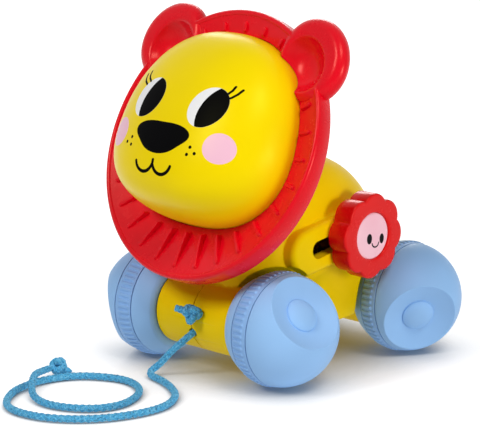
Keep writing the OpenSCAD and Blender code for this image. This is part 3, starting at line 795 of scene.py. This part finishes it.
def make_wheel_outer(name, side, y, turn, body):
    """The outer half: everything is round about the slanted dish, then cut flat at the seam."""
    bm = bmesh.new()
    rim = math.sqrt(BALL_R ** 2 - DISH_OUT ** 2)

    def floor(r):
        return DISH_OUT - DISH_DEPTH * (1 - (r / rim) ** 2)

    top = DISH_OUT - 0.3
    profile = [(BUTTON_R * s, top - 2.3 * s ** 2.6)
               for s in (0, 0.12, 0.25, 0.4, 0.55, 0.68, 0.8, 0.88, 0.94, 0.98)]
    profile += [(BUTTON_R + 0.1, floor(BUTTON_R)), (BUTTON_R + 0.5, floor(BUTTON_R + 0.5))]
    profile += [(r, floor(r)) for r in (9.6, 11, 12.5, 14, 15.5, 17, 18.2)]
    profile += [(rim - 0.35, DISH_OUT - 0.1), (rim - 0.12, DISH_OUT - 0.02)]
    profile += [(rim + 0.1, DISH_OUT - 0.06)]
    start = math.asin((rim + 0.3) / BALL_R)
    profile += [(BALL_R * math.sin(a), BALL_R * math.cos(a))
                for a in (start + (math.radians(172) - start) * k / 60 for k in range(61))]
    spin_line(bm, profile, 128)
    bmesh.ops.rotate(bm, cent=(0, 0, 0), matrix=turn_about(DISH_LEAN, "X", 3), verts=bm.verts[:])
    cut = (0, 0, TREAD_OUT + SEAM + 0.12)
    bmesh.ops.bisect_plane(bm, geom=bm.verts[:] + bm.edges[:] + bm.faces[:], plane_co=cut,
                           plane_no=(0, 0, 1), clear_inner=True)
    bmesh.ops.remove_doubles(bm, verts=bm.verts[:], dist=1e-3)
    edge = open_edges(bm)
    for inset in (0.05, 4.0):
        edge = pull(bm, edge)
        for vert in {v for e in edge for v in e.verts}:
            flat = vert.co.xy.normalized() * (math.sqrt(BALL_R ** 2 - TREAD_OUT ** 2) - inset)
            vert.co = (flat.x, flat.y, TREAD_OUT + SEAM)
    finish_piece(name + "_ball", bm, wheel_place(side, y, turn), body, BLUE, name)


# The flowers
def petal_edge(turn):
    """How far the petals reach at a turn."""
    angle = ((turn * PETALS + 0.5) % 1 - 0.5) * math.tau / PETALS
    across = PETAL_OUT * math.sin(angle)
    return PETAL_OUT * math.cos(angle) + math.sqrt(PETAL_R ** 2 - across ** 2)


def make_flower(side, name, body):
    bm = bmesh.new()
    top = FLOWER_THICK

    def at(r, t, w):
        return Vector((r * math.cos(math.tau * t), r * math.sin(math.tau * t), w))

    def petals(inset, w):
        return lambda t: at(petal_edge(t) - inset, t, w)

    def part_way(mixed):
        return lambda t: at((petal_edge(t) - PETAL_INSET) * (1 - mixed) + 16.6 * mixed, t, top)

    def round_ring(r, w):
        return lambda t: at(r, t, w)

    rings = [round_ring(3.2, 6.5), round_ring(3.2, 0.3), round_ring(3.6, 0)]
    outside = ((1.0, 0.0), (0.3, 0.25), (0.0, 0.9), (-0.02, 5.5), (0.0, 10.5), (0.12, 10.95),
               (0.4, 11.28), (0.8, 11.45), (1.3, top), (PETAL_INSET, top))
    recess = ((14.5, top), (12.9, 11.48), (12.45, 11.35), (12.15, 11.05), (12.02, 10.6), (12.0, 9.5))
    rings += [petals(inset, w) for inset, w in outside] + [part_way(0.5), part_way(1)]
    rings += [round_ring(r, w) for r, w in recess]
    edges = loft(bm, PETALS * 24, rings)
    close_ring(bm, edges)
    close_ring(bm, open_edges(bm))
    place = flower_place(side)
    finish_piece(name + "_petals", bm, place, body, FLOWER_RED, name, 45)
    bm = bmesh.new()
    profile = [(0, 9.52), (11.7, 9.52), (11.88, 9.75), (11.85, 10.3), (11.6, 10.55), (11.1, 10.68),
               (8, 10.8), (4, 10.9), (0, 10.94)]
    spin_line(bm, profile, 96)
    finish_piece(name + "_smile", bm, place, body, SMILE_PRINT, name + "_face")


# The body and the head's back
def make_head_back():
    """The head's back keeps its solid's shape, with its edges eased."""
    bm = node_mesh("head_back")
    bmesh.ops.dissolve_limit(bm, angle_limit=math.radians(0.4), verts=bm.verts[:],
                             edges=bm.edges[:])
    mesh = bpy.data.meshes.new("head_back_moulding")
    bm.to_mesh(mesh)
    bm.free()
    piece = show("head_back_moulding", mesh, "body", RED, "head_back", 32)
    bevel = piece.modifiers.new("eased", "BEVEL")
    bevel.width, bevel.segments = 0.0004, 3
    bevel.limit_method, bevel.angle_limit = "ANGLE", math.radians(34)
    bevel.use_clamp_overlap, bevel.harden_normals = True, False


def long_round(side, levels, ahead, behind, back_stop=99.0):
    """A solid with a long round outline along the slot. Levels are (x, radius) pairs."""
    def ring(x, r):
        def point(t):
            along, up = -math.cos(math.tau * t), math.sin(math.tau * t)
            y = r * along + (behind if along > 0 else -ahead)
            return Vector((side * x, min(y, back_stop), r * up))
        return point

    bm = bmesh.new()
    edges = loft(bm, 96, [ring(x, r) for x, r in levels])
    close_ring(bm, edges)
    close_ring(bm, open_edges(bm))
    place = Matrix.Translation((0, FLOWER_Y, FLOWER_Z)) @ turn_about(SLOT_RISE, "X")
    bmesh.ops.transform(bm, matrix=place, verts=bm.verts[:])
    bmesh.ops.recalc_face_normals(bm, faces=bm.faces[:])
    return loose_mesh("pod", bm)


def arch_ball(side):
    """The free space round a front wheel."""
    bm = bmesh.new()
    bmesh.ops.create_uvsphere(bm, u_segments=96, v_segments=48, radius=ARCH_R)
    bmesh.ops.translate(bm, vec=(side * WHEEL_X, FRONT_Y, AXLE_Z), verts=bm.verts[:])
    return loose_mesh("arch", bm)


def make_body_half(node, side):
    """A body moulding with the flat face of its pod and a slightly open seam."""
    bm = node_mesh(node)
    bmesh.ops.scale(bm, vec=(1000, 1000, 1000), verts=bm.verts[:])
    for vert in bm.verts:
        if abs(vert.co.x) < 0.02:
            vert.co.x = side * SEAM
    shell = loose_mesh(node, bm)
    edge = [(POD_FACE - POD_EDGE + POD_EDGE * math.sin(math.radians(a)),
             POD_R - POD_EDGE + POD_EDGE * math.cos(math.radians(a))) for a in range(0, 91, 10)]
    pod = long_round(side, [(35.9, POD_R)] + edge, POD_AHEAD, POD_BEHIND)
    nose = long_round(side, [(29, POD_R), (36.5, POD_R)], POD_AHEAD, POD_BEHIND, -28.5)
    pod = carve(carve(pod, nose, "UNION"), arch_ball(side), "DIFFERENCE")
    slot = long_round(side, [(20, SLOT_HALF), (60, SLOT_HALF)], SLOT_FRONT, SLOT_REAR)
    shell = carve(carve(shell, pod, "UNION"), slot, "DIFFERENCE")
    finish_piece(node + "_moulding", take_mesh(shell), IN_MM, "body", YELLOW, node,
                 32)


def dress_node(node, material):
    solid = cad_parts[node]
    solid.data.materials.clear()
    solid.data.materials.append(material)


# Light and floor
# How brightly the floor glows for diffuse rays: a glowing floor, painted light that stands in for the
# bounce onto the toy from below
FLOOR_BOUNCE = 0.40
SKY_FILL = 0.02
LAMP_AIM = Vector((0, 0, 0.09))
LAMPS = (("key", (3.0, 0.0, 0.30), 0.9, 38), ("left", (-0.4, -2.3, 2.0), 0.9, 38),
         ("top", (1.62, -0.6, 2.5), 1.0, 30), ("back", (-2.1, 2.3, 1.7), 1.4, 26))


def light(name, at, size, power):
    lamp = bpy.data.lights.new(name, "AREA")
    lamp.shape, lamp.size, lamp.size_y, lamp.energy = "RECTANGLE", size, size, power
    thing = bpy.data.objects.new(name, lamp)
    bpy.context.scene.collection.objects.link(thing)
    thing.location = at
    thing.rotation_euler = (LAMP_AIM - Vector(at)).to_track_quat("-Z", "Y").to_euler()


def seen_directly(nodes, links):
    """1 where the camera, a reflection or clear plastic looks at a surface."""
    path = nodes.new("ShaderNodeLightPath")
    total = path.outputs["Is Camera Ray"]
    for key in ("Is Glossy Ray", "Is Transmission Ray"):
        more = nodes.new("ShaderNodeMath")
        more.operation = "MAXIMUM"
        links.new(total, more.inputs[0])
        links.new(path.outputs[key], more.inputs[1])
        total = more.outputs[0]
    return total


def make_studio():
    bm = bmesh.new()
    bmesh.ops.create_grid(bm, x_segments=2, y_segments=2, size=6)
    mesh = bpy.data.meshes.new("floor")
    bm.to_mesh(mesh)
    bm.free()
    floor = bpy.data.objects.new("floor", mesh)
    bpy.context.scene.collection.objects.link(floor)
    floor.location.z = -0.0002
    tree = Tree("white_floor")
    nodes, links = tree.nodes, tree.links
    grain = tree.ramp(tree.noise(3, 2), 0.3, 0.7)
    tone = tree.mix(grain, (0.42, 0.42, 0.425), (0.44, 0.44, 0.44))
    tree.join(tone, tree.shader.inputs["Base Color"])
    tree.shader.inputs["Roughness"].default_value = 0.9
    tree.shader.inputs["Specular IOR Level"].default_value = 0.1
    glow = nodes.new("ShaderNodeEmission")
    glow.inputs["Color"].default_value = (1, 1, 1, 1)
    # The floor's glow, as seen directly, is a little lower near the toy. Its ambient occlusion darkens
    # it further where the toy stands: a painted contact shadow.
    away = tree.ramp(tree.length(tree.coords), 0.16, 0.70, 0.85, 1.0)
    painted_contact_shadow = nodes.new("ShaderNodeAmbientOcclusion")
    painted_contact_shadow.samples, painted_contact_shadow.inputs["Distance"].default_value = 12, 0.06
    away = tree.math("MULTIPLY", away, tree.ramp(painted_contact_shadow.outputs["AO"], 0.1, 0.95))
    lift = tree.math("SUBTRACT", away, FLOOR_BOUNCE)
    links.new(tree.math("MULTIPLY_ADD", seen_directly(nodes, links), lift, FLOOR_BOUNCE),
              glow.inputs["Strength"])
    both = nodes.new("ShaderNodeAddShader")
    links.new(tree.shader.outputs[0], both.inputs[0])
    links.new(glow.outputs[0], both.inputs[1])
    links.new(both.outputs[0], nodes["Material Output"].inputs["Surface"])
    mesh.materials.append(tree.material)
    world = bpy.data.worlds.new("studio")
    bpy.context.scene.world = world
    world.use_nodes = True
    nodes, links = world.node_tree.nodes, world.node_tree.links
    sky = nodes["Background"]
    sky.inputs["Color"].default_value = (1, 1, 1, 1)
    level = nodes.new("ShaderNodeMapRange")
    level.inputs["To Min"].default_value, level.inputs["To Max"].default_value = SKY_FILL, 1.0
    links.new(seen_directly(nodes, links), level.inputs["Value"])
    links.new(level.outputs["Result"], sky.inputs["Strength"])
    for lamp in LAMPS:
        light(*lamp)
    bpy.context.scene.view_settings.view_transform = "Standard"


# Wheel, side, place along the body, turn of its dish, and body
WHEELS = (("front_left", 1, FRONT_Y, -82, "front_wheels"),
          ("front_right", -1, FRONT_Y, 157, "front_wheels"),
          ("rear_left", 1, REAR_Y, 35, "rear_wheels"),
          ("rear_right", -1, REAR_Y, -35, "rear_wheels"))

set_camera()
make_cord()
make_face()
make_mane()
for corner, side, y, turn, body in WHEELS:
    make_wheel_inner(corner + "_inner", side, y, body)
    make_tread(corner + "_tread", side, y, body)
    make_wheel_outer(corner + "_outer", side, y, turn, body)
make_flower(1, "flower_left", "left_flower")
make_flower(-1, "flower_right", "right_flower")
make_body_half("body_left", 1)
make_body_half("body_right", -1)
make_head_back()
for node in ("body_screws", "neck_screws", "mane_screws", "front_axle", "rear_axle",
             "flower_shaft"):
    dress_node(node, STEEL)
dress_node("slide_discs", WHITE)
make_studio()
